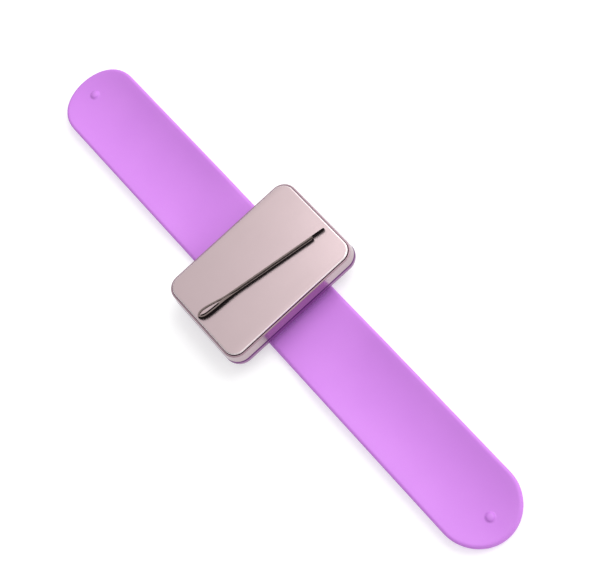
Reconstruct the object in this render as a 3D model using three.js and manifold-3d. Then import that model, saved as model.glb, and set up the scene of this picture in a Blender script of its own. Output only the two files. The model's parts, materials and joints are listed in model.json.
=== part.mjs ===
// Magnetic wrist pin holder: a slap band with a magnetic steel box across it and a hair grip on the box.
// Millimetres. +X runs along the band, +Y across it, +Z up. The origin is under the middle of the band,
// on the surface that the straight band lies on.

import * as THREE from "three";
import { mergeVertices } from "three/addons/utils/BufferGeometryUtils.js";
import Module from "manifold-3d";

const wasm = await Module();
wasm.setup();

// ---------------------------------------------------------------- driving dimensions

const clearance = 0.3;            // gap left between neighbouring pieces

const bandLength = 246;           // silicone sleeve, end to end
const bandWidth = 30;
const sleeveThickness = 3;
const dishHeight = 2.2;           // how far the long edges of a wing stand above its middle line
const dishStart = 20;             // distance from the box's middle where the dish begins
const dishRun = 30;               // length over which it grows to its full height
const boxMiddleX = -4.4;            // the box sits a little towards the left end

const steelThickness = 0.3;       // spring band inside the sleeve
const steelInset = 3;             // silicone left round the spring band's outline

const plateLengthX = 38.9;        // top plate of the box
const plateWidthY = 56.4;
const plateCorner = 4.75;
const plateTopZ = 14.5;
const plateThickness = 1.0;
const plateEdge = 0.45;           // radius of the plate's upper edge
const plateUnderEdge = 0.25;      // chamfer of its lower edge

const trayBottomZ = 5.1;
const trayWall = 0.55;
const trayMargin = 0.85;          // the tray's outline lies this far outside the plate's
const trayCorner = 5.6;
const trayRimDrop = 0.8;          // how far its rim ends below the plate's upper face
const trayEdge = 1.9;             // radius of the tray's lower edge

const padHeight = 1.8;            // moulded pad that the tray stands on
const padWidthY = 26.2;
const padInset = 1.8;             // how far the pad's ends lie inside the plate's
const padCorner = 2;

const segmentPitch = 10.6;        // distance from hinge to hinge along a wing
const leftHinges = 9;
const rightHinges = 10;

const nubFromEnd = 8.9;           // small moulded dome near each end of the band
const nubRadius = 1.5;
const nubHeight = 0.9;

const weld = 0.05;                // how deep a dome or pad sinks into the surface that it grows from

const studOffsetX = 12;           // each stud's distance from the box's middle
const studRadius = 1.5;
const studHeadRadius = 2.6;
const studHeadHeight = 0.45;
const washerRadius = 3.5;
const washerThickness = 0.5;

const foamThickness = 1.5;
const keeperThickness = 1.0;
const magnetThickness = 3.5;
const magnetLengthX = 32;
const magnetWidthY = 25;
const packMargin = 0.5;           // how far the flat layers reach past the two magnets
const adhesiveThickness = 0.3;

const gripLength = 53.5;          // hair grip, from its looped end to its tip
const gripStrip = 0.55;           // thickness of its strip
const gripHeight = 1.5;           // width of its strip, which stands on edge
const gripSpacing = 0.7;          // distance between the middles of its legs
const gripShortBulge = 1.1;       // how far the short leg swings out at the looped end
const gripLongBulge = 1.5;        // how far the long leg does
const gripEyeLength = 17;         // where the two legs come together
const gripShortfall = 5.5;        // how much sooner the short leg ends
const gripRound = 3;              // length of the loop's round end
const gripLoopEnd = [-5.6, -27.2];
const gripTurn = 8.6;             // degrees between the grip and the Y axis

// ---------------------------------------------------------------- materials

function material(colour, roughness, metalness) {
  return new THREE.MeshStandardMaterial({ color: colour, roughness, metalness, flatShading: true });
}

const materials = {
  silicone: () => material(0xd288eb, 0.55, 0),
  springSteel: () => material(0x8f9296, 0.35, 1),
  satinSteel: () => material(0xdccbca, 0.38, 1),
  polishedSteel: () => material(0xccb9b7, 0.15, 1),
  keeperSteel: () => material(0xa9aaab, 0.45, 1),
  ferrite: () => material(0x2b2c2f, 0.7, 0),
  foam: () => material(0x3a3a3c, 0.95, 0),
  adhesive: () => material(0xe8e2d0, 0.8, 0),
  darkEnamel: () => material(0x1a1112, 0.3, 0.4),
};

// ---------------------------------------------------------------- geometry helpers

const group = new THREE.Group();

function addPiece(name, geometry, makeMaterial) {
  const mesh = new THREE.Mesh(geometry, makeMaterial());
  mesh.name = name;
  group.add(mesh);
  return mesh;
}

function positionsToGeometry(positions) {
  const geometry = new THREE.BufferGeometry();
  geometry.setAttribute("position", new THREE.Float32BufferAttribute(positions, 3));
  const merged = mergeVertices(geometry, 1e-4);
  merged.computeVertexNormals();
  return merged;
}

function toSolid(geometry) {
  const bare = geometry.clone();
  bare.deleteAttribute("normal");
  bare.deleteAttribute("uv");
  const merged = mergeVertices(bare, 1e-4);
  const vertProperties = new Float32Array(merged.attributes.position.array);
  const triVerts = new Uint32Array(merged.index.array);
  return new wasm.Manifold(new wasm.Mesh({ numProp: 3, vertProperties, triVerts }));
}

function toGeometry(solid) {
  const mesh = solid.getMesh();
  const geometry = new THREE.BufferGeometry();
  geometry.setAttribute("position", new THREE.BufferAttribute(mesh.vertProperties, 3));
  geometry.setIndex(new THREE.BufferAttribute(mesh.triVerts, 1));
  geometry.computeVertexNormals();
  return geometry;
}

function cut(geometry, ...tools) {
  return toGeometry(tools.reduce((solid, tool) => solid.subtract(toSolid(tool)), toSolid(geometry)));
}

function join(geometry, ...others) {
  return toGeometry(others.reduce((solid, other) => solid.add(toSolid(other)), toSolid(geometry)));
}

function uprightCylinder(radius, lowZ, highZ, x, y) {
  const cylinder = new THREE.CylinderGeometry(radius, radius, highZ - lowZ, 20);
  cylinder.rotateX(Math.PI / 2);
  cylinder.translate(x, y, (lowZ + highZ) / 2);
  return cylinder;
}

function flatBox(lengthX, widthY, lowZ, thickness, x, y) {
  const box = new THREE.BoxGeometry(lengthX, widthY, thickness);
  box.translate(x, y, lowZ + thickness / 2);
  return box;
}

// Points of a rounded rectangle, anticlockwise seen from above, pulled in by an inset.
function roundedRectangle(lengthX, widthY, corner, inset = 0, cornerSteps = 5) {
  const radius = Math.max(corner - inset, 0.3);
  const centreX = lengthX / 2 - inset - radius;
  const centreY = widthY / 2 - inset - radius;
  const corners = [[1, 1, 0], [-1, 1, 90], [-1, -1, 180], [1, -1, 270]];
  return corners.flatMap(([signX, signY, startAngle]) =>
    Array.from({ length: cornerSteps + 1 }, (_, step) => {
      const angle = THREE.MathUtils.degToRad(startAngle + (90 * step) / cornerSteps);
      const x = signX * centreX + radius * Math.cos(angle);
      const y = signY * centreY + radius * Math.sin(angle);
      return [x, y];
    }));
}

// A closed body through level outlines [inset, z], capped on its first and last outline.
function stackedOutlines(lengthX, widthY, corner, levels) {
  const rings = levels.map(([inset, z]) =>
    roundedRectangle(lengthX, widthY, corner, inset).map(([x, y]) => [x + boxMiddleX, y, z]));
  const count = rings[0].length;
  const positions = [];
  for (let level = 0; level + 1 < rings.length; level += 1) {
    for (let i = 0; i < count; i += 1) {
      const next = (i + 1) % count;
      const [a, b] = [rings[level][i], rings[level][next]];
      const [c, d] = [rings[level + 1][next], rings[level + 1][i]];
      positions.push(...a, ...b, ...c, ...a, ...c, ...d);
    }
  }
  const capMiddle = (ring) => [boxMiddleX, 0, ring[0][2]];
  const lastRing = rings[rings.length - 1];
  for (let i = 0; i < count; i += 1) {
    const next = (i + 1) % count;
    positions.push(...capMiddle(rings[0]), ...rings[0][next], ...rings[0][i]);
    positions.push(...capMiddle(lastRing), ...lastRing[i], ...lastRing[next]);
  }
  return positionsToGeometry(positions);
}

// ---------------------------------------------------------------- the band's form

const endRadius = bandWidth / 2;
const endCentreX = bandLength / 2 - endRadius;
const middleZ = sleeveThickness / 2;

// Half the width of the band's outline at x, for an outline pulled in by an inset.
function halfWidthAt(x, inset) {
  const radius = endRadius - inset;
  const pastCentre = Math.max(Math.abs(x) - endCentreX, 0);
  return Math.sqrt(Math.max(radius ** 2 - pastCentre ** 2, 0));
}

// Distance from a point of the band to its outline.
function distanceInside(x, y) {
  const pastCentre = Math.max(Math.abs(x) - endCentreX, 0);
  return endRadius - Math.hypot(pastCentre, y);
}

// Height of the band's middle surface, flat under the box and dished along the wings.
function middleSurfaceZ(x, y) {
  const along = THREE.MathUtils.clamp((Math.abs(x - boxMiddleX) - dishStart) / dishRun, 0, 1);
  const dish = dishHeight * along * along * (3 - 2 * along);
  return middleZ + dish * (y / (endRadius - middleZ)) ** 2;
}

// The sleeve's long edges and ends are rounded with half its thickness.
function sleeveHalfThickness(x, y) {
  const inside = Math.min(distanceInside(x, y), middleZ);
  return Math.sqrt(Math.max(middleZ ** 2 - (middleZ - inside) ** 2, 0));
}

// A closed strip along the band between its first and last x, made of points across it at each x.
function strip(stationsX, inset, acrossFractions, halfThickness) {
  const stations = stationsX.map((x) => acrossFractions.map((fraction) => {
    const y = fraction * halfWidthAt(x, inset);
    const z = middleSurfaceZ(x, y);
    const half = halfThickness(x, y);
    return { top: [x, y, z + half], bottom: [x, y, z - half] };
  }));
  const positions = [];
  const quad = (a, b, c, d) => positions.push(...a, ...b, ...c, ...a, ...c, ...d);
  const lastStation = stations.length - 1;
  const lastAcross = acrossFractions.length - 1;
  for (let s = 0; s < lastStation; s += 1) {
    const here = stations[s];
    const next = stations[s + 1];
    for (let j = 0; j < lastAcross; j += 1) {
      quad(here[j].top, next[j].top, next[j + 1].top, here[j + 1].top);
      quad(here[j].bottom, here[j + 1].bottom, next[j + 1].bottom, next[j].bottom);
    }
    quad(here[0].bottom, next[0].bottom, next[0].top, here[0].top);
    quad(here[lastAcross].bottom, here[lastAcross].top, next[lastAcross].top, next[lastAcross].bottom);
  }
  const first = stations[0];
  const last = stations[lastStation];
  for (let j = 0; j < lastAcross; j += 1) {
    quad(first[j].bottom, first[j].top, first[j + 1].top, first[j + 1].bottom);
    quad(last[j].bottom, last[j + 1].bottom, last[j + 1].top, last[j].top);
  }
  return positionsToGeometry(positions);
}

const mirrored = (fractions) => [...fractions.map((f) => -f), 0, ...fractions.toReversed()];
const sleeveAcross = mirrored([0.993, 0.97, 0.9, 0.6, 0.3]);
const steelAcross = mirrored([1, 0.67, 0.33]);

const slotHalfThickness = steelThickness / 2 + clearance;

function sleeveStrip(stationsX) {
  return strip(stationsX, 0, sleeveAcross, sleeveHalfThickness);
}

function steelStrip(stationsX) {
  return strip(stationsX, steelInset, steelAcross, () => steelThickness / 2);
}

// The slot is longer than its sleeve piece at open ends, and stops short of the band's round tips.
function slotStrip(stationsX) {
  return strip(stationsX, steelInset - clearance, steelAcross, () => slotHalfThickness);
}

// ---------------------------------------------------------------- the wings

const tip = bandLength / 2;

// Distances from the tip at which the end piece's outline is drawn.
const tipSteps = [8, 5.5, 3.2, 1.5, 0.5, 0.12];
const steelTipSteps = [7.5, 5.5, 4, 3.2, 3.01];
const slotTipSteps = [7.5, 5.5, 4, 3, 2.71];

// Builds one wing. Side is -1 for the left and 1 for the right.
function addWing(name, side, hinges) {
  const rootX = tip - hinges * segmentPitch;
  const ordered = (distances) => (side > 0 ? distances : distances.map((x) => -x).toReversed());
  for (let index = 1; index <= hinges; index += 1) {
    const nearX = rootX + (index - 1) * segmentPitch + clearance / 2;
    const isEnd = index === hinges;
    const farX = rootX + index * segmentPitch - clearance / 2;
    const toTip = (steps, fallback) => (isEnd ? steps.map((step) => tip - step) : [fallback]);
    const sleeve = sleeveStrip(ordered([nearX, ...toTip(tipSteps, farX)]));
    const slot = slotStrip(ordered([nearX - 1, ...toTip(slotTipSteps, farX + 1)]));
    const steel = steelStrip(ordered([nearX, ...toTip(steelTipSteps, farX)]));
    const hollow = cut(sleeve, slot);
    addPiece(`${name}_sleeve_${index}`, isEnd ? join(hollow, nub(side)) : hollow, materials.silicone);
    addPiece(`${name}_spring_${index}`, steel, materials.springSteel);
  }
}

function nub(side) {
  const dome = new THREE.SphereGeometry(nubRadius, 12, 8);
  dome.rotateX(Math.PI / 2);
  dome.scale(1, 1, nubHeight / nubRadius);
  dome.translate(side * (tip - nubFromEnd), 0, sleeveThickness - weld);
  return dome;
}

// ---------------------------------------------------------------- the middle, under the box

const padTopZ = sleeveThickness + padHeight;
const studXs = [boxMiddleX - studOffsetX, boxMiddleX + studOffsetX];
const studHoleRadius = studRadius + clearance;
const steelLowZ = middleZ - steelThickness / 2;
const studHeadLowZ = steelLowZ - clearance - studHeadHeight;

function addMiddle() {
  const leftX = -(tip - leftHinges * segmentPitch) + clearance / 2;
  const rightX = tip - rightHinges * segmentPitch - clearance / 2;
  const flatEnds = [boxMiddleX - dishStart, boxMiddleX + dishStart];
  const stationsX = [leftX, ...flatEnds, rightX];

  const padShape = new THREE.Shape(
    roundedRectangle(plateLengthX - 2 * padInset, padWidthY, padCorner)
      .map(([x, y]) => new THREE.Vector2(x, y)));
  const pad = new THREE.ExtrudeGeometry(padShape, { depth: padHeight + weld, bevelEnabled: false });
  pad.translate(boxMiddleX, 0, sleeveThickness - weld);

  const slot = slotStrip([leftX - 1, ...flatEnds, rightX + 1]);
  const studHoles = studXs.map((x) => uprightCylinder(studHoleRadius, middleZ, padTopZ + 1, x, 0));
  const headPockets = studXs.map((x) =>
    uprightCylinder(studHeadRadius + clearance, studHeadLowZ - clearance / 2, middleZ, x, 0));
  const sleeve = cut(join(sleeveStrip(stationsX), pad), slot, ...studHoles, ...headPockets);
  addPiece("sleeve_middle", sleeve, materials.silicone);

  const steelHoles = studXs.map((x) => uprightCylinder(studHoleRadius, 0, sleeveThickness, x, 0));
  addPiece("spring_middle", cut(steelStrip(stationsX), ...steelHoles), materials.springSteel);
}

// ---------------------------------------------------------------- the box

const trayFloorZ = trayBottomZ + trayWall;
const foamLowZ = trayFloorZ + clearance;
const keeperLowZ = foamLowZ + foamThickness + clearance;
const magnetLowZ = keeperLowZ + keeperThickness + clearance;
const adhesiveLowZ = magnetLowZ + magnetThickness + clearance;
const plateLowZ = plateTopZ - plateThickness;
const trayRimZ = plateTopZ - trayRimDrop;
const packLengthX = magnetLengthX + 2 * packMargin;
const packWidthY = 2 * magnetWidthY + 2 * packMargin;
const arcMiddle = 1 - Math.SQRT1_2;   // how far a quarter round's middle point is cut back, over its radius

function addTopPlate() {
  const levels = [
    [plateUnderEdge, plateLowZ],
    [0, plateLowZ + plateUnderEdge],
    [0, plateTopZ - plateEdge],
    [arcMiddle * plateEdge, plateTopZ - arcMiddle * plateEdge],
    [plateEdge, plateTopZ],
  ];
  const plate = stackedOutlines(plateLengthX, plateWidthY, plateCorner, levels);
  addPiece("top_plate", plate, materials.satinSteel);
}

function addTray() {
  const outer = -trayMargin;
  const inner = outer + trayWall;
  const innerEdge = trayEdge - trayWall;
  const levels = [
    [outer + trayEdge, trayBottomZ],
    [outer + arcMiddle * trayEdge, trayBottomZ + arcMiddle * trayEdge],
    [outer, trayBottomZ + trayEdge],
    [outer, trayRimZ],
    [inner, trayRimZ],
    [inner, trayFloorZ + innerEdge],
    [inner + innerEdge, trayFloorZ],
  ];
  const shell = stackedOutlines(plateLengthX, plateWidthY, trayCorner - trayMargin, levels);
  const studHoles = studXs.map((x) =>
    uprightCylinder(studHoleRadius, trayBottomZ - 1, trayFloorZ + 1, x, 0));
  addPiece("tray_shell", cut(shell, ...studHoles), materials.polishedSteel);
}

function addStuds() {
  const studTopZ = foamLowZ + washerThickness + 0.5;
  const headTopZ = studHeadLowZ + studHeadHeight;
  const profile = [
    [0, studHeadLowZ],
    [studHeadRadius, studHeadLowZ],
    [studHeadRadius, headTopZ],
    [studRadius, headTopZ],
    [studRadius, studTopZ],
    [0, studTopZ],
  ].map(([radius, z]) => new THREE.Vector2(radius, z));
  studXs.forEach((x, index) => {
    const stud = new THREE.LatheGeometry(profile, 16);
    stud.rotateX(Math.PI / 2);
    stud.translate(x, 0, 0);
    addPiece(`stud_${index + 1}`, stud, materials.keeperSteel);

    const ring = new THREE.Shape().absarc(0, 0, washerRadius, 0, 2 * Math.PI);
    ring.holes.push(new THREE.Path().absarc(0, 0, studHoleRadius, 0, 2 * Math.PI));
    const options = { depth: washerThickness, bevelEnabled: false, curveSegments: 8 };
    const washer = new THREE.ExtrudeGeometry(ring, options);
    washer.translate(x, 0, foamLowZ);
    addPiece(`push_washer_${index + 1}`, washer, materials.springSteel);
  });
}

function addMagnetPack() {
  const foam = flatBox(packLengthX, packWidthY, foamLowZ, foamThickness, boxMiddleX, 0);
  const washerHoles = studXs.map((x) =>
    uprightCylinder(washerRadius + clearance, foamLowZ - 1, foamLowZ + foamThickness + 1, x, 0));
  addPiece("foam_pad", cut(foam, ...washerHoles), materials.foam);

  const keeper = flatBox(packLengthX, packWidthY, keeperLowZ, keeperThickness, boxMiddleX, 0);
  addPiece("keeper_plate", keeper, materials.keeperSteel);

  [-1, 1].forEach((side, index) => {
    const y = (side * (magnetWidthY + clearance)) / 2;
    const magnet = flatBox(magnetLengthX, magnetWidthY, magnetLowZ, magnetThickness, boxMiddleX, y);
    addPiece(`magnet_${index + 1}`, magnet, materials.ferrite);
  });

  const sheetThickness = Math.min(adhesiveThickness, plateLowZ - clearance - adhesiveLowZ);
  const sheet = flatBox(packLengthX, packWidthY, adhesiveLowZ, sheetThickness, boxMiddleX, 0);
  addPiece("plate_adhesive", sheet, materials.adhesive);
}

// ---------------------------------------------------------------- the hair grip

// The grip's strip follows a path in plan: the long leg, the looped end, then the short leg.
function gripPath() {
  const ease = 4;                 // length over which a leg swings out, at either end of its swing
  const handle = -gripRound / 3;  // puts the round end's middle at zero
  const [farLeg, farBulge, nearBulge] = [gripSpacing, gripSpacing + gripLongBulge, -gripShortBulge];
  const path = new THREE.Path();
  path.moveTo(gripLength, farLeg);
  path.lineTo(gripEyeLength, farLeg);
  path.bezierCurveTo(gripEyeLength - ease, farLeg, gripRound + ease, farBulge, gripRound, farBulge);
  path.bezierCurveTo(handle, farBulge, handle, nearBulge, gripRound, nearBulge);
  path.bezierCurveTo(gripRound + ease, nearBulge, gripEyeLength - ease, 0, gripEyeLength, 0);
  path.lineTo(gripLength - gripShortfall, 0);
  return path;
}

function addHairGrip() {
  const points = gripPath().getPoints(8);
  const side = (offset) => points.map((point, i) => {
    const before = points[Math.max(i - 1, 0)];
    const after = points[Math.min(i + 1, points.length - 1)];
    const along = after.clone().sub(before).normalize();
    return new THREE.Vector2(point.x - along.y * offset, point.y + along.x * offset);
  });
  const outline = [...side(gripStrip / 2), ...side(-gripStrip / 2).reverse()];
  const options = { depth: gripHeight, bevelEnabled: false };
  const grip = new THREE.ExtrudeGeometry(new THREE.Shape(outline), options);
  const mesh = addPiece("hair_grip", grip, materials.darkEnamel);
  mesh.position.set(gripLoopEnd[0], gripLoopEnd[1], plateTopZ + clearance / 2);
  mesh.rotation.z = THREE.MathUtils.degToRad(90 - gripTurn);
}

// ---------------------------------------------------------------- assembly

addMiddle();
addWing("left", -1, leftHinges);
addWing("right", 1, rightHinges);
addTray();
addStuds();
addMagnetPack();
addTopPlate();
addHairGrip();

export default group;
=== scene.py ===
"""The looks of a magnetic wrist pin holder: its slap band, its steel box and the hair grip that it holds.

Metres, +X along the band, +Y across it, +Z up. Every piece is built where the frame's joints and boxes say.
"""
import json
import math

import bmesh
import bpy
from mathutils import Matrix, Vector


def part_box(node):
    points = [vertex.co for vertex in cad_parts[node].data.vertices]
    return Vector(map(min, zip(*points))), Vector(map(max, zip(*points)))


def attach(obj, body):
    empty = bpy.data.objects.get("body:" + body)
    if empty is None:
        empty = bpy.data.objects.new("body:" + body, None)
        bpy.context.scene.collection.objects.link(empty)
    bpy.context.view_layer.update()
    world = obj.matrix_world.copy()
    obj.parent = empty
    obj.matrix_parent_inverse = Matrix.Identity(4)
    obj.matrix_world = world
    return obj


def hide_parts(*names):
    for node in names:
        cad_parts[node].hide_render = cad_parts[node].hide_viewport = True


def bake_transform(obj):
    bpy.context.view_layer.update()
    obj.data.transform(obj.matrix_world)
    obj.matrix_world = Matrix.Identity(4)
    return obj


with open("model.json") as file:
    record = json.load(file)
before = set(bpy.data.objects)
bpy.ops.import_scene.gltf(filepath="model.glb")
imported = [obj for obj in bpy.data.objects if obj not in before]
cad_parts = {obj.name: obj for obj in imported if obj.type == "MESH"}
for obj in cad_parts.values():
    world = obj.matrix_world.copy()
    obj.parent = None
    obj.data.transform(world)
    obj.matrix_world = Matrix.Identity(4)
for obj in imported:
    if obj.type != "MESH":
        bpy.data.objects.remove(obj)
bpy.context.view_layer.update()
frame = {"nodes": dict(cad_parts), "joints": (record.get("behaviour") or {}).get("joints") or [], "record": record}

MM = 0.001

# ------------------------------------------------------------------ driving dimensions

BAND_LENGTH = 246 * MM
BAND_WIDTH = 30 * MM
SLEEVE_THICKNESS = 3 * MM
DISH_HEIGHT = 2.2 * MM          # how far a wing's long edges stand above its middle line
DISH_START = 20 * MM            # distance from the box's middle where the dish begins
DISH_RUN = 30 * MM              # length over which it grows to its full height
SLOT_INSET = 2.7 * MM           # the spring band's slot inside the sleeve
SLOT_HALF_HEIGHT = 0.45 * MM
WING_START_GAP = 1 * MM         # how far outside the plate's ends the wings' skins start
ROW_STEP = 0.9 * MM             # longest mesh row along the band

NUB_FROM_END = 8.9 * MM
NUB_RADIUS = 1.6 * MM
NUB_HEIGHT = 0.8 * MM

PAD_INSET = 1.8 * MM            # the moulded pad ends this far inside the plate's ends
PAD_WIDTH = 26.2 * MM
PAD_CORNER = 2.0 * MM
PAD_FOOT_RADIUS = 0.45 * MM     # soft hollow where the pad rises from the band
PAD_EDGE_RADIUS = 0.4 * MM
PAD_SUNK = 0.3 * MM             # how far the pad's mesh goes down into the band's

PLATE_CORNER = 4.75 * MM
PLATE_EDGE_RADIUS = 0.5 * MM
PLATE_BURR_RADIUS = 0.15 * MM
PLATE_UNDERSIDE_INSET = 0.8 * MM    # mesh ring on the plate's underside

TRAY_WALL = 0.6 * MM
TRAY_RIM_MARGIN = 0.75 * MM     # how far the tray's rim lies outside the plate's outline
TRAY_FOOT_MARGIN = 1.35 * MM    # how far its widest level does, low on the wall
TRAY_RIM_LAP = 0.2 * MM         # how far its rim stands up past the plate's underside
TRAY_CORNER = 4.6 * MM          # its corners, measured at the plate's outline
TRAY_EDGE_RADIUS = 3.0 * MM
TRAY_RIM_RADIUS = 0.2 * MM
TRAY_LIP = 0.05 * MM            # small chamfer on the rim's inner edge
TRAY_FLOOR_INSET = 2 * MM       # mesh ring on the tray's floor, inside its rounded edge
TRAY_GROOVE_Z = 9.4 * MM        # groove between the tray's lower and upper halves
TRAY_GROOVE_HEIGHT = 0.9 * MM
TRAY_GROOVE_DEPTH = 0.2 * MM

STUD_RADIUS = 1.5 * MM
STUD_CLEARANCE = 0.3 * MM       # round a stud and its head, where they pass through a piece
STUD_HEAD_GAP = 0.1 * MM        # under a stud's head
STUD_CUT_PAST = 1 * MM          # how far above a stud its hole is cut

GRIP_LENGTH = 53.5 * MM
GRIP_STRIP = 0.55 * MM          # thickness of the hair grip's strip
GRIP_STRIP_CORNER = 0.14 * MM   # rounding of the strip's own edges
GRIP_TIP_ROUNDING = 0.55 * MM   # length of the rounding at each of its tips
GRIP_SPACING = 0.95 * MM        # distance between the middles of its legs
GRIP_SHORT_BULGE = 1.1 * MM     # how far the short leg swings out at the looped end
GRIP_LONG_BULGE = 1.5 * MM      # how far the long leg does
GRIP_EYE_LENGTH = 17 * MM       # where the two legs come together
GRIP_EASE = 4 * MM              # how softly the legs leave the eye's two ends
GRIP_SHORTFALL = 5.2 * MM       # how much shorter the short leg is
GRIP_ROUND = 3 * MM             # length of the loop's round end
GRIP_LOOP_END = (-5.35 * MM, -27.24 * MM)
GRIP_TURN = math.radians(8.6)   # angle between the grip and the Y axis
GRIP_CORNER_STEPS = 4           # mesh steps round each corner of the strip's section
GRIP_LEG_STEPS = 24             # mesh steps along each straight leg, and along each side of the eye
GRIP_LOOP_STEPS = 32            # mesh steps round the loop's end
GRIP_SHORT_LEG_LOW = 0.2        # share of the strip's height that the short leg lacks
GRIP_EYE_LOW = 0.7              # share of it that the long leg loses in the eye, where it is pressed
GRIP_EYE_THICK = 2.0            # share of its thickness that the short leg gains there
GRIP_PRESS_RUN = 7 * MM         # length over which this pressing sets in

plate_low, plate_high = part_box("top_plate")
tray_bottom_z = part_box("tray_shell")[0].z
pad_top_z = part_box("sleeve_middle")[1].z
grip_low, grip_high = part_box("hair_grip")
BOX_X = (plate_low.x + plate_high.x) / 2
PLATE_LENGTH = plate_high.x - plate_low.x
PLATE_WIDTH = plate_high.y - plate_low.y

END_RADIUS = BAND_WIDTH / 2
END_CENTRE_X = BAND_LENGTH / 2 - END_RADIUS
MIDDLE_Z = SLEEVE_THICKNESS / 2


# ------------------------------------------------------------------ mesh helpers

def ease(share):
    """A smooth rise from 0 to 1 as the share goes from 0 to 1, and level outside them."""
    share = min(max(share, 0), 1)
    return share * share * (3 - 2 * share)


def skin(rings, closed=True, flip=False):
    """Quads between neighbouring rings of points."""
    quads = []
    for here, following in zip(rings, rings[1:]):
        count = len(here)
        for i in range(count if closed else count - 1):
            j = (i + 1) % count
            quad = [here[i], here[j], following[j], following[i]]
            quads.append(quad[::-1] if flip else quad)
    return quads


def add_piece(name, faces, material, body=None, smooth_angle=40):
    """A smooth-shaded piece from faces given as lists of points, with equal points welded."""
    build = bmesh.new()
    for face in faces:
        build.faces.new([build.verts.new(point) for point in face])
    bmesh.ops.remove_doubles(build, verts=build.verts, dist=1e-6)
    bmesh.ops.dissolve_degenerate(build, edges=build.edges, dist=1e-7)
    mesh = bpy.data.meshes.new(name)
    build.to_mesh(mesh)
    build.free()
    mesh.shade_smooth()
    mesh.set_sharp_from_angle(angle=math.radians(smooth_angle))
    mesh.materials.append(material)
    piece = bpy.data.objects.new(name, mesh)
    bpy.context.scene.collection.objects.link(piece)
    if body:
        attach(piece, body)
    return piece


def rounded_rectangle(length, width, corner, inset=0.0, steps=16):
    """Points of a rounded rectangle about the box's middle, anticlockwise seen from above."""
    radius = max(corner - inset, 0.05 * MM)
    centre_x = length / 2 - inset - radius
    centre_y = width / 2 - inset - radius
    points = []
    for sign_x, sign_y, start in ((1, 1, 0), (-1, 1, 90), (-1, -1, 180), (1, -1, 270)):
        for step in range(steps + 1):
            angle = math.radians(start + 90 * step / steps)
            x = BOX_X + sign_x * centre_x + radius * math.cos(angle)
            y = sign_y * centre_y + radius * math.sin(angle)
            points.append((x, y))
    return points


def stacked_outlines(length, width, corner, levels):
    """Faces of a closed body through level outlines, each given as (inset, z)."""
    rings = []
    for inset, z in levels:
        rings.append([(x, y, z) for x, y in rounded_rectangle(length, width, corner, inset)])
    return skin(rings) + [rings[0][::-1], rings[-1]]


def arc_levels(inset, z, radius, start, end, steps=6):
    """Levels round part of a circle about (inset, z). An angle of 0 points out of the wall and 90 up."""
    levels = []
    for step in range(steps + 1):
        angle = math.radians(start + (end - start) * step / steps)
        levels.append((inset - radius * math.cos(angle), z + radius * math.sin(angle)))
    return levels


# ------------------------------------------------------------------ materials

def new_material(name):
    """A material with a Principled shader, and its node tree and shader."""
    material = bpy.data.materials.new(name)
    material.use_nodes = True
    tree = material.node_tree
    shader = tree.nodes["Principled BSDF"]
    return material, tree, shader


def add_noise(tree, scale, detail=4.0, stretch=(1, 1, 1)):
    """A noise texture on the object's own coordinates, stretched by a mapping."""
    coordinates = tree.nodes.new("ShaderNodeTexCoord")
    mapping = tree.nodes.new("ShaderNodeMapping")
    mapping.inputs["Scale"].default_value = stretch
    noise = tree.nodes.new("ShaderNodeTexNoise")
    noise.inputs["Scale"].default_value = scale
    noise.inputs["Detail"].default_value = detail
    tree.links.new(coordinates.outputs["Object"], mapping.inputs["Vector"])
    tree.links.new(mapping.outputs["Vector"], noise.inputs["Vector"])
    return noise


def vary(tree, noise, low, high, target):
    """Sends the noise to a shader socket, with its usual span remapped to the span from low to high."""
    usual_low, usual_high = 0.3, 0.7
    remap = tree.nodes.new("ShaderNodeMapRange")
    remap.inputs["From Min"].default_value = usual_low
    remap.inputs["From Max"].default_value = usual_high
    remap.inputs["To Min"].default_value = low
    remap.inputs["To Max"].default_value = high
    tree.links.new(noise.outputs["Fac"], remap.inputs["Value"])
    tree.links.new(remap.outputs["Result"], target)


def vary_colour(tree, noise, first, second, target):
    """Sends a mix of two colours to a shader socket, by the noise."""
    mix = tree.nodes.new("ShaderNodeMix")
    mix.data_type = "RGBA"
    mix.inputs["A"].default_value = (*first, 1)
    mix.inputs["B"].default_value = (*second, 1)
    tree.links.new(noise.outputs["Fac"], mix.inputs["Factor"])
    tree.links.new(mix.outputs["Result"], target)


def add_bump(tree, shader, noise, strength, distance, before=None):
    """A bump from the noise, on top of an earlier bump where one is given."""
    bump = tree.nodes.new("ShaderNodeBump")
    bump.inputs["Strength"].default_value = strength
    bump.inputs["Distance"].default_value = distance
    tree.links.new(noise.outputs["Fac"], bump.inputs["Height"])
    if before:
        tree.links.new(before.outputs["Normal"], bump.inputs["Normal"])
    tree.links.new(bump.outputs["Normal"], shader.inputs["Normal"])
    return bump


def silicone_material():
    """Matte moulded silicone rubber, slightly translucent, with a fine mould texture."""
    material, tree, shader = new_material("silicone_purple")
    shader.inputs["IOR"].default_value = 1.41
    shader.inputs["Subsurface Weight"].default_value = 0.06
    shader.inputs["Subsurface Radius"].default_value = (1.0, 0.45, 1.0)
    shader.inputs["Subsurface Scale"].default_value = 0.8 * MM
    clouds = add_noise(tree, 45, 3)
    vary_colour(tree, clouds, (0.540, 0.191, 0.690), (0.595, 0.222, 0.740), shader.inputs["Base Color"])
    grain = add_noise(tree, 2600, 5)
    vary(tree, grain, 0.42, 0.54, shader.inputs["Roughness"])
    coarse = add_bump(tree, shader, add_noise(tree, 700, 3), 0.12, 0.05 * MM)
    add_bump(tree, shader, grain, 0.18, 0.02 * MM, before=coarse)
    return material


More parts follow.
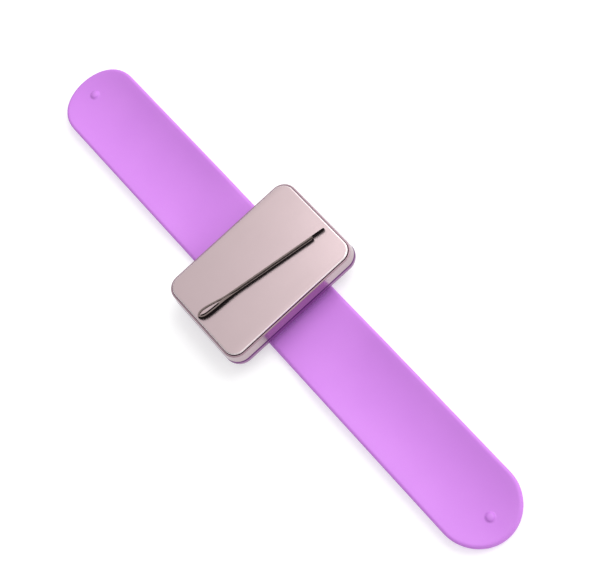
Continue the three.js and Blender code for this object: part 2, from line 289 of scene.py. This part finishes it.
def steel_material(name, tint, shade, roughness, streak=0.05):
    """Stainless steel with fine brushed streaks across the band, and faint smudges."""
    material, tree, shader = new_material(name)
    shader.inputs["Metallic"].default_value = 1.0
    smudges = add_noise(tree, 70, 4)
    vary_colour(tree, smudges, shade, tint, shader.inputs["Base Color"])
    streaks = add_noise(tree, 60, 6, stretch=(60, 1.2, 60))
    vary(tree, streaks, roughness - streak, roughness + streak, shader.inputs["Roughness"])
    add_bump(tree, shader, streaks, 0.06, 0.02 * MM)
    return material


def enamel_material(name, first, second):
    """Lacquer on the hair grip's steel strip, mottled between two shades."""
    material, tree, shader = new_material(name)
    shader.inputs["Specular IOR Level"].default_value = 0.04
    patches = add_noise(tree, 500, 4)
    vary_colour(tree, patches, first, second, shader.inputs["Base Color"])
    vary(tree, patches, 0.3, 0.42, shader.inputs["Roughness"])
    add_bump(tree, shader, add_noise(tree, 1800, 3), 0.1, 0.02 * MM)
    return material


def inner_material(name, first, second, roughness, metallic, scale, bump):
    """A plain procedural finish for a piece inside the box or the band."""
    spread = 0.06
    material, tree, shader = new_material(name)
    shader.inputs["Metallic"].default_value = metallic
    noise = add_noise(tree, scale, 5)
    vary_colour(tree, noise, first, second, shader.inputs["Base Color"])
    vary(tree, noise, roughness - spread, roughness + spread, shader.inputs["Roughness"])
    add_bump(tree, shader, noise, bump, 0.1 * MM)
    return material


silicone = silicone_material()
satin_steel = steel_material("steel_satin_pink", (0.615, 0.487, 0.505), (0.580, 0.457, 0.474), 0.36)
polished_steel = steel_material("steel_polished_pink", (0.47, 0.375, 0.405), (0.43, 0.345, 0.37), 0.17, 0.03)
# lighter steel for the plate's rounded rim: a painted highlight
painted_highlight_steel = steel_material("steel_rim_painted_highlight", (0.95, 0.84, 0.86), (0.92, 0.81, 0.83), 0.22, 0.04)
# darker purplish steel on the plate's sides and the tray's rim: painted shade in the seam between them
painted_shade_steel = steel_material("steel_edges_painted_shade", (0.40, 0.27, 0.32), (0.36, 0.24, 0.28), 0.35)
# darker lilac steel for the tray's lower half: a painted reflection of the purple band and painted shade
painted_reflection_steel = steel_material("steel_lilac_painted_reflection", (0.32, 0.18, 0.32), (0.28, 0.16, 0.28), 0.2, 0.03)
# dark purple steel in the tray's groove: painted shade and a painted purple reflection
groove_painted_shade_steel = steel_material("steel_groove_painted_shade", (0.16, 0.055, 0.18), (0.13, 0.045, 0.15), 0.35)
lacquer = enamel_material("grip_lacquer", (0.002, 0.001, 0.001), (0.006, 0.003, 0.004))
# lighter brown-grey lacquer: a painted highlight where light falls on the grip's upper edges and long leg
highlight_painted_lacquer = enamel_material("grip_lacquer_painted_highlight", (0.150, 0.115, 0.108), (0.250, 0.198, 0.187))

INNER = {
    "ferrite": inner_material("ferrite_grey", (0.02, 0.02, 0.023), (0.045, 0.045, 0.05), 0.75, 0, 900, 0.3),
    "foam": inner_material("foam_black", (0.03, 0.03, 0.032), (0.07, 0.07, 0.075), 0.9, 0, 1600, 0.8),
    "adhesive": inner_material("adhesive_film", (0.75, 0.71, 0.6), (0.82, 0.78, 0.68), 0.6, 0, 200, 0.1),
    "plain_steel": inner_material("steel_zinc", (0.38, 0.38, 0.39), (0.46, 0.46, 0.48), 0.4, 1, 400, 0.1),
    "spring_steel": inner_material("steel_spring", (0.22, 0.23, 0.25), (0.3, 0.31, 0.33), 0.35, 1, 300, 0.1),
}


def dress_inner_nodes():
    """Gives every CAD node that stays its own finish, by its material slot in the record."""
    for subpart in frame["record"]["subparts"]:
        finish = INNER.get(subpart["material_slot"])
        if finish:
            for slot in frame["nodes"][subpart["node"]].material_slots:
                slot.material = finish


# ------------------------------------------------------------------ the silicone sleeve

def middle_surface_z(x, y):
    """Height of the band's middle surface, flat under the box and dished along the wings."""
    dish = DISH_HEIGHT * ease((abs(x - BOX_X) - DISH_START) / DISH_RUN)
    return MIDDLE_Z + dish * (y / (END_RADIUS - MIDDLE_Z)) ** 2


def half_profile(radius, half_height, flat_steps=7, round_steps=7):
    """(distance from the middle line, half height) from the middle out to the rounded edge."""
    flat = radius - half_height
    points = [(flat * step / flat_steps, half_height) for step in range(flat_steps)]
    for step in range(round_steps + 1):
        angle = math.radians(90 * step / round_steps)
        points.append((flat + half_height * math.sin(angle), half_height * math.cos(angle)))
    return points


SLEEVE_PROFILE = half_profile(END_RADIUS, MIDDLE_Z)
SLOT_PROFILE = half_profile(END_RADIUS - SLOT_INSET, SLOT_HALF_HEIGHT)


def section_ring(x, profile):
    """A closed ring across the band at x: over the top from +Y to -Y, and back underneath."""
    over = [(r, h) for r, h in reversed(profile)] + [(-r, h) for r, h in profile[1:]]
    under = [(-r, -h) for r, h in reversed(profile[:-1])] + [(r, -h) for r, h in profile[1:-1]]
    return [(x, y, middle_surface_z(x, y) + h) for y, h in over + under]


def tube_rings(low, high, profile):
    """Section rings from one x to another, no further apart than one row."""
    count = max(2, math.ceil((high - low) / ROW_STEP))
    return [section_ring(low + (high - low) * i / count, profile) for i in range(count + 1)]


def round_end(side, profile, inward=False, turns=30):
    """The half disc that ends the band, or its slot, from one long edge round to the other."""
    spokes = []
    for turn in range(turns + 1):
        angle = math.pi / 2 - math.pi * turn / turns
        chain = list(profile) + [(r, -h) for r, h in reversed(profile[:-1])]
        spoke = []
        for r, h in chain:
            x = side * (END_CENTRE_X + r * math.cos(angle))
            y = r * math.sin(angle)
            spoke.append((x, y, middle_surface_z(x, y) + h))
        spokes.append(spoke)
    return skin(spokes, closed=False, flip=(side > 0) != inward)


def sleeve_faces(low, high, end_side=0):
    """A length of sleeve with the spring's slot in it. An end piece has a round end past one limit."""
    faces = skin(tube_rings(low, high, SLEEVE_PROFILE))
    faces += skin(tube_rings(low, high, SLOT_PROFILE), flip=True)
    for x, side in ((low, -1), (high, 1)):
        if side == end_side:
            faces += round_end(side, SLEEVE_PROFILE)
            faces += round_end(side, SLOT_PROFILE, inward=True)
        else:
            rims = [section_ring(x, SLEEVE_PROFILE), section_ring(x, SLOT_PROFILE)]
            faces += skin(rims, flip=side < 0)
    return faces


def wing_joints(side):
    """The hinges of one wing, from the box to the tip."""
    hinges = [j for j in frame["joints"] if j["type"] == "hinge" and j["pos_m"][0] * side > 0]
    return sorted(hinges, key=lambda hinge: abs(hinge["pos_m"][0]))


def add_wing(name, side):
    """One wing of the sleeve: a piece round each hinge.

    Returns how far from the origin the wing starts.
    """
    hinges = wing_joints(side)
    places = [abs(hinge["pos_m"][0]) for hinge in hinges]
    half_pitch = (places[1] - places[0]) / 2
    start = side * BOX_X + PLATE_LENGTH / 2 + WING_START_GAP
    for number, hinge in enumerate(hinges, 1):
        bend_start = start if number == 1 else places[number - 1] - half_pitch
        bend_end = places[number - 1] + half_pitch
        is_end = number == len(hinges)
        far = END_CENTRE_X if is_end else bend_end
        low, high = sorted((side * bend_start, side * far))
        faces = sleeve_faces(low, high, side if is_end else 0)
        piece = add_piece(f"{name}_wing_skin_{number}", faces, silicone)
        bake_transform(piece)
        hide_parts(f"{name}_sleeve_{number}")
    add_nub(name, side, hinges[-1]["child"])
    return start


def add_nub(name, side, body):
    """The small moulded dome near the wing's end, with a soft foot."""
    sides = 32
    centre_x = side * (BAND_LENGTH / 2 - NUB_FROM_END)
    outline = [(1.5, -0.35), (1.3, 0.0), (1.1, 0.05), (1.0, 0.2), (0.93, 0.42), (0.8, 0.64), (0.6, 0.83),
               (0.35, 0.95), (0.1, 1.0)]
    rings = []
    for share_r, share_h in outline:
        ring = []
        for step in range(sides):
            angle = 2 * math.pi * step / sides
            x = centre_x + NUB_RADIUS * share_r * math.cos(angle)
            y = NUB_RADIUS * share_r * math.sin(angle)
            z = middle_surface_z(x, y) + MIDDLE_Z + NUB_HEIGHT * share_h
            ring.append((x, y, z))
        rings.append(ring)
    faces = skin(rings) + [rings[0][::-1], rings[-1]]
    add_piece(f"{name}_nub", faces, silicone, body)


def add_sleeve():
    """The whole silicone sleeve: two wings, the middle under the box, and the pad that the box sits on."""
    left_start = add_wing("left", -1)
    right_start = add_wing("right", 1)
    middle = add_piece("middle_skin", sleeve_faces(-left_start, right_start), silicone, "box")
    cut_stud_holes(middle)
    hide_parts("sleeve_middle")
    add_middle_pad()


def add_middle_pad():
    """The low moulded pad on the band's middle, with a hollow foot and a rounded upper edge."""
    levels = [(-PAD_FOOT_RADIUS, SLEEVE_THICKNESS - PAD_SUNK)]
    for angle in (0, 30, 60, 90):
        inset = PAD_FOOT_RADIUS * (math.sin(math.radians(angle)) - 1)
        rise = PAD_FOOT_RADIUS * (1 - math.cos(math.radians(angle)))
        levels.append((inset, SLEEVE_THICKNESS + rise))
    levels += arc_levels(PAD_EDGE_RADIUS, pad_top_z - PAD_EDGE_RADIUS, PAD_EDGE_RADIUS, 0, 90)
    faces = stacked_outlines(PLATE_LENGTH - 2 * PAD_INSET, PAD_WIDTH, PAD_CORNER, levels)
    pad = add_piece("middle_pad", faces, silicone, "box")
    cut_stud_holes(pad)


# ------------------------------------------------------------------ the box

def turned(x, y, outline, sides=48):
    """Faces of an upright turned body from (radius, z) pairs, lowest first."""
    rings = []
    for radius, z in outline:
        ring = []
        for step in range(sides):
            angle = 2 * math.pi * step / sides
            ring.append((x + radius * math.cos(angle), y + radius * math.sin(angle), z))
        rings.append(ring)
    return skin(rings) + [rings[0][::-1], rings[-1]]


def cut_stud_holes(piece):
    """Cuts room for the two studs out of a piece: the heads' pockets under the spring, and holes above."""
    faces = []
    for node in ("stud_1", "stud_2"):
        low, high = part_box(node)
        pocket_radius = (high.x - low.x) / 2 + STUD_CLEARANCE
        hole_radius = STUD_RADIUS + STUD_CLEARANCE
        outline = [(pocket_radius, low.z - STUD_HEAD_GAP),
                   (pocket_radius, MIDDLE_Z),
                   (hole_radius, MIDDLE_Z),
                   (hole_radius, high.z + STUD_CUT_PAST)]
        faces += turned((low.x + high.x) / 2, (low.y + high.y) / 2, outline)
    cut_with(piece, faces)


def cut_with(piece, faces):
    """Subtracts a closed body from a piece, and keeps the result in its mesh."""
    cutter = add_piece("cutter", faces, silicone)
    modifier = piece.modifiers.new("cut", "BOOLEAN")
    modifier.object = cutter
    modifier.solver = "EXACT"
    evaluated = piece.evaluated_get(bpy.context.evaluated_depsgraph_get())
    mesh = bpy.data.meshes.new_from_object(evaluated)
    piece.modifiers.clear()
    old_mesh = piece.data
    piece.data = mesh
    bpy.data.meshes.remove(old_mesh)
    bpy.data.objects.remove(cutter)


def add_top_plate():
    """The satin plate, with a rounded upper rim and a small burr round underneath. Its rim faces get a lighter
    steel as a painted highlight, and its sides and burr a darker steel as painted shade.
    """
    radius = PLATE_EDGE_RADIUS
    burr = PLATE_BURR_RADIUS
    face_slope, rim_slope = 0.97, 0.3
    levels = [(PLATE_UNDERSIDE_INSET, plate_low.z)]
    levels += arc_levels(burr, plate_low.z + burr, burr, -90, 0, 3)
    levels += arc_levels(radius, plate_high.z - radius, radius, 0, 90)
    faces = stacked_outlines(PLATE_LENGTH, PLATE_WIDTH, PLATE_CORNER, levels)
    plate = add_piece("plate_satin", faces, satin_steel, "box")
    plate.data.materials.append(painted_highlight_steel)
    plate.data.materials.append(painted_shade_steel)
    # index 1, on the rounded rim, is a painted highlight; index 2, on the sides and burr, is painted shade
    rim, side = 1, 2
    for face in plate.data.polygons:
        if abs(face.normal.z) < face_slope:
            face.material_index = rim if face.normal.z > rim_slope else side
    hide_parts("top_plate")


def tray_levels():
    """(inset from the plate's outline, z) up the tray's flared wall, over its rim and down its inside."""
    foot = -TRAY_FOOT_MARGIN
    rim = -TRAY_RIM_MARGIN
    rim_z = plate_low.z + TRAY_RIM_LAP
    edge_z = tray_bottom_z + TRAY_EDGE_RADIUS
    inner_radius = TRAY_EDGE_RADIUS - TRAY_WALL
    levels = [(foot + TRAY_EDGE_RADIUS + TRAY_FLOOR_INSET, tray_bottom_z)]
    levels += arc_levels(foot + TRAY_EDGE_RADIUS, edge_z, TRAY_EDGE_RADIUS, -90, 0, 8)
    for share, depth in ((-1 / 2, 0), (-1 / 4, TRAY_GROOVE_DEPTH), (1 / 4, TRAY_GROOVE_DEPTH), (1 / 2, 0)):
        z = TRAY_GROOVE_Z + share * TRAY_GROOVE_HEIGHT
        wall = foot + (rim - foot) * (z - edge_z) / (rim_z - edge_z)
        levels.append((wall + depth, z))
    levels += arc_levels(rim + TRAY_RIM_RADIUS, rim_z - TRAY_RIM_RADIUS, TRAY_RIM_RADIUS, 0, 90, 5)
    levels += [(rim + TRAY_WALL - TRAY_LIP, rim_z), (rim + TRAY_WALL, rim_z - TRAY_LIP)]
    levels += arc_levels(foot + TRAY_EDGE_RADIUS, edge_z, inner_radius, 0, -90, 6)
    return levels


def add_tray():
    """The polished tray: a flared wall with a rounded lower edge, hollow inside for the magnets. Its lower half
    has a darker lilac steel, a painted purple reflection and painted shade, its groove a dark purple steel as
    painted shade, and its rim a darker steel as painted shade.
    """
    faces = stacked_outlines(PLATE_LENGTH, PLATE_WIDTH, TRAY_CORNER, tray_levels())
    tray = add_piece("tray_polished", faces, polished_steel, "box")
    cut_stud_holes(tray)
    tray.data.materials.clear()
    for material in (polished_steel, painted_reflection_steel, groove_painted_shade_steel, painted_shade_steel):
        tray.data.materials.append(material)
    upper, lower, groove, rim = range(4)
    for face in tray.data.polygons:
        above_groove = face.center.z - TRAY_GROOVE_Z
        if abs(above_groove) < TRAY_GROOVE_HEIGHT / 2:
            # the groove's dark purple steel is painted shade and a painted purple reflection
            face.material_index = groove
        elif face.center.z > plate_low.z + TRAY_RIM_LAP - TRAY_RIM_RADIUS:
            # the rim's darker steel is painted shade in the seam under the plate
            face.material_index = rim
        else:
            # the lower half's lilac steel is a painted reflection and painted shade
            face.material_index = lower if above_groove < 0 else upper
    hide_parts("tray_shell")


# ------------------------------------------------------------------ the hair grip

def bezier(points, steps):
    """Points of a cubic curve, without its first."""
    result = []
    for step in range(1, steps + 1):
        t = step / steps
        weights = ((1 - t) ** 3, 3 * t * (1 - t) ** 2, 3 * t * t * (1 - t), t ** 3)
        result.append(tuple(sum(w * p[k] for w, p in zip(weights, points)) for k in (0, 1)))
    return result


def grip_path():
    """Middle of the grip's strip in plan: the long leg, the looped end, then the short leg."""
    eye_ease = GRIP_EYE_LENGTH - GRIP_EASE
    loop_ease = GRIP_ROUND + GRIP_EASE
    handle = -GRIP_ROUND / 3
    far_bulge = GRIP_SPACING + GRIP_LONG_BULGE
    near_bulge = -GRIP_SHORT_BULGE
    long_step = (GRIP_LENGTH - GRIP_EYE_LENGTH) / GRIP_LEG_STEPS
    short_step = (GRIP_LENGTH - GRIP_SHORTFALL - GRIP_EYE_LENGTH) / GRIP_LEG_STEPS
    path = [(GRIP_LENGTH - long_step * i, GRIP_SPACING) for i in range(GRIP_LEG_STEPS + 1)]
    path += bezier([path[-1], (eye_ease, GRIP_SPACING), (loop_ease, far_bulge), (GRIP_ROUND, far_bulge)],
                   GRIP_LEG_STEPS)
    path += bezier([path[-1], (handle, far_bulge), (handle, near_bulge), (GRIP_ROUND, near_bulge)],
                   GRIP_LOOP_STEPS)
    path += bezier([path[-1], (loop_ease, near_bulge), (eye_ease, 0), (GRIP_EYE_LENGTH, 0)],
                   GRIP_LEG_STEPS)
    path += [(GRIP_EYE_LENGTH + short_step * i, 0) for i in range(1, GRIP_LEG_STEPS + 1)]
    return path


def strip_section(half_across, half_up, corner):
    """Points of the strip's rounded section, as (across, up). Its upper edge is in three parts."""
    flat = half_across - corner
    points = []
    for sign_a, sign_u, start in ((1, 1, 0), (-1, 1, 90), (-1, -1, 180), (1, -1, 270)):
        for step in range(GRIP_CORNER_STEPS + 1):
            angle = math.radians(start + 90 * step / GRIP_CORNER_STEPS)
            points.append((sign_a * flat + corner * math.cos(angle),
                           sign_u * (half_up - corner) + corner * math.sin(angle)))
        if start == 0:
            points += [(flat / 3, half_up), (-flat / 3, half_up)]
    return points


def add_hair_grip():
    """The dark hair grip that the magnets hold on the plate, standing on the edge of its strip."""
    path = [Vector(point) for point in grip_path()]
    half_up = (grip_high.z - grip_low.z) / 2
    turn = Matrix.Rotation(math.pi / 2 - GRIP_TURN, 4, "Z")
    place = Matrix.Translation((*GRIP_LOOP_END, plate_high.z + half_up)) @ turn
    rings = []
    for i, point in enumerate(path):
        along = (path[min(i + 1, len(path) - 1)] - path[max(i - 1, 0)]).normalized()
        rings.append(grip_ring(place, point, Vector((-along.y, along.x)), half_up))
    for angle in (25, 45, 60, 72, 82):
        shrink = math.cos(math.radians(angle))
        outward = Vector((GRIP_TIP_ROUNDING * math.sin(math.radians(angle)), 0))
        rings.insert(0, grip_ring(place, path[0] + outward, Vector((0, -1)), half_up, shrink))
        rings.append(grip_ring(place, path[-1] + outward, Vector((0, 1)), half_up, shrink))
    faces = skin(rings) + [rings[0][::-1], rings[-1]]
    grip = add_piece("hair_grip_lacquered", faces, lacquer, "hair_grip", smooth_angle=60)
    paint_grip_highlight(grip.data, place, len(rings[0]))
    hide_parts("hair_grip")


def grip_ring(place, centre, normal, half_up, scale=1.0):
    """The strip's section about one point of the path, in the frame."""
    lost_height, gained_thickness = grip_pressing(centre)
    half_height = half_up * scale * (1 - lost_height)
    half_thickness = GRIP_STRIP / 2 * scale * (1 + gained_thickness)
    inward = GRIP_STRIP / 2 * gained_thickness
    ring = []
    for across, up in strip_section(half_thickness, half_height, GRIP_STRIP_CORNER * scale):
        point = centre + normal * (across + inward)
        ring.append(place @ Vector((point.x, point.y, up - half_up * lost_height)))
    return ring


def grip_pressing(point):
    """How the strip is pressed at a point: (share of its height lost, share of thickness gained)."""
    along, across = point
    into_eye = ease((GRIP_EYE_LENGTH - along) / GRIP_PRESS_RUN)
    on_short_leg = min(max(1 - across / GRIP_SPACING, 0), 1)
    lost_height = GRIP_SHORT_LEG_LOW * on_short_leg + GRIP_EYE_LOW * into_eye * (1 - on_short_leg)
    return lost_height, GRIP_EYE_THICK * into_eye * on_short_leg


def paint_grip_highlight(mesh, place, faces_round):
    """Lighter lacquer as a painted highlight on the long leg and on parts of the short leg's upper edge, up to the
    short leg's tip.
    """
    mesh.materials.append(highlight_painted_lacquer)
    inner_part, middle_part = GRIP_CORNER_STEPS, GRIP_CORNER_STEPS + 1
    to_path = place.inverted()
    for face in mesh.polygons:
        point = to_path @ face.center
        part = face.index % faces_round
        on_edge = part == middle_part or (part == inner_part and point.x > GRIP_EYE_LENGTH / 2)
        is_painted_lit = on_edge or point.y > GRIP_SPACING / 2
        # the lighter lacquer is a painted highlight; the long leg's tip keeps the dark lacquer
        face.material_index = 1 if is_painted_lit and point.x < GRIP_LENGTH - GRIP_SHORTFALL else 0


# ------------------------------------------------------------------ studio

CAMERA_PLACE = Vector((246.4, -14.2, 510.1)) * MM
CAMERA_AIM = Vector((4.6, 6.9, 0)) * MM
CAMERA_ROLL = math.radians(-43.45)      # turn about the line of sight, from the band standing upright
CAMERA_LENS = 94.6

KEY_LIGHT_PLACE = Vector((0, 450, 600)) * MM
KEY_LIGHT_SIZE = (700 * MM, 500 * MM)
KEY_LIGHT_POWER = 2.9
SKY_BRIGHTEST_TOWARDS = (0.1, 0.5, 0.86)
FLOOR_HALF_SIDE = 3000 * MM
FLOOR_DROP = 0.05 * MM          # keeps the floor just clear of the band's underside


def add_camera():
    """A camera above the longer wing, looking back along the band."""
    back = (CAMERA_PLACE - CAMERA_AIM).normalized()
    towards_left = Vector((-1, 0, 0))
    up = (towards_left - back * towards_left.dot(back)).normalized()
    right = up.cross(back)
    rolled_right = right * math.cos(CAMERA_ROLL) + up * math.sin(CAMERA_ROLL)
    rolled_up = up * math.cos(CAMERA_ROLL) - right * math.sin(CAMERA_ROLL)
    rotation = Matrix((rolled_right, rolled_up, back)).transposed().to_4x4()
    data = bpy.data.cameras.new("camera")
    data.lens = CAMERA_LENS
    data.sensor_width = 36
    data.clip_start = 0.01
    camera = bpy.data.objects.new("camera", data)
    camera.matrix_world = Matrix.Translation(CAMERA_PLACE) @ rotation
    bpy.context.scene.collection.objects.link(camera)
    bpy.context.scene.camera = camera


def add_key_light():
    """A large soft light above the +Y side, which points at the origin."""
    data = bpy.data.lights.new("key", "AREA")
    data.shape = "RECTANGLE"
    data.size, data.size_y = KEY_LIGHT_SIZE
    data.energy = KEY_LIGHT_POWER
    light = bpy.data.objects.new("key", data)
    turn = KEY_LIGHT_PLACE.to_track_quat("Z", "Y").to_matrix().to_4x4()
    light.matrix_world = Matrix.Translation(KEY_LIGHT_PLACE) @ turn
    bpy.context.scene.collection.objects.link(light)


def add_sky():
    """A surround that is white above the +Y side, and greyer the further a direction lies from there."""
    world = bpy.data.worlds.new("surround")
    world.use_nodes = True
    bpy.context.scene.world = world
    tree = world.node_tree
    background = tree.nodes["Background"]
    background.inputs["Strength"].default_value = 1.1
    coordinates = tree.nodes.new("ShaderNodeTexCoord")
    towards_light = tree.nodes.new("ShaderNodeVectorMath")
    towards_light.operation = "DOT_PRODUCT"
    towards_light.inputs[1].default_value = SKY_BRIGHTEST_TOWARDS
    ramp = tree.nodes.new("ShaderNodeValToRGB")
    stops = ramp.color_ramp.elements
    stops[0].position, stops[0].color = 0.0, (0.25, 0.25, 0.26, 1)
    stops[1].position, stops[1].color = 0.8, (1, 1, 1, 1)
    tree.links.new(coordinates.outputs["Generated"], towards_light.inputs[0])
    tree.links.new(towards_light.outputs["Value"], ramp.inputs["Fac"])
    tree.links.new(ramp.outputs["Color"], background.inputs["Color"])


def add_floor():
    """A light table, which glows a little."""
    half = FLOOR_HALF_SIDE
    corners = [(-half, -half, 0), (half, -half, 0), (half, half, 0), (-half, half, 0)]
    floor_material, tree, shader = new_material("floor_white")
    shader.inputs["Roughness"].default_value = 0.9
    shader.inputs["Specular IOR Level"].default_value = 0.1
    shader.inputs["Emission Color"].default_value = (1, 1, 1, 1)
    shader.inputs["Emission Strength"].default_value = 0.45
    clouds = add_noise(tree, 3, 2)
    vary_colour(tree, clouds, (0.65, 0.65, 0.65), (0.67, 0.67, 0.67), shader.inputs["Base Color"])
    floor = add_piece("floor", [corners], floor_material)
    floor.location.z = -FLOOR_DROP


def add_studio():
    """The floor, a soft sky and a soft key light, shown without a film look."""
    add_floor()
    add_sky()
    add_key_light()
    bpy.context.scene.view_settings.view_transform = "Standard"


# ------------------------------------------------------------------ the scene

add_camera()
add_studio()
dress_inner_nodes()
add_sleeve()
add_tray()
add_top_plate()
add_hair_grip()
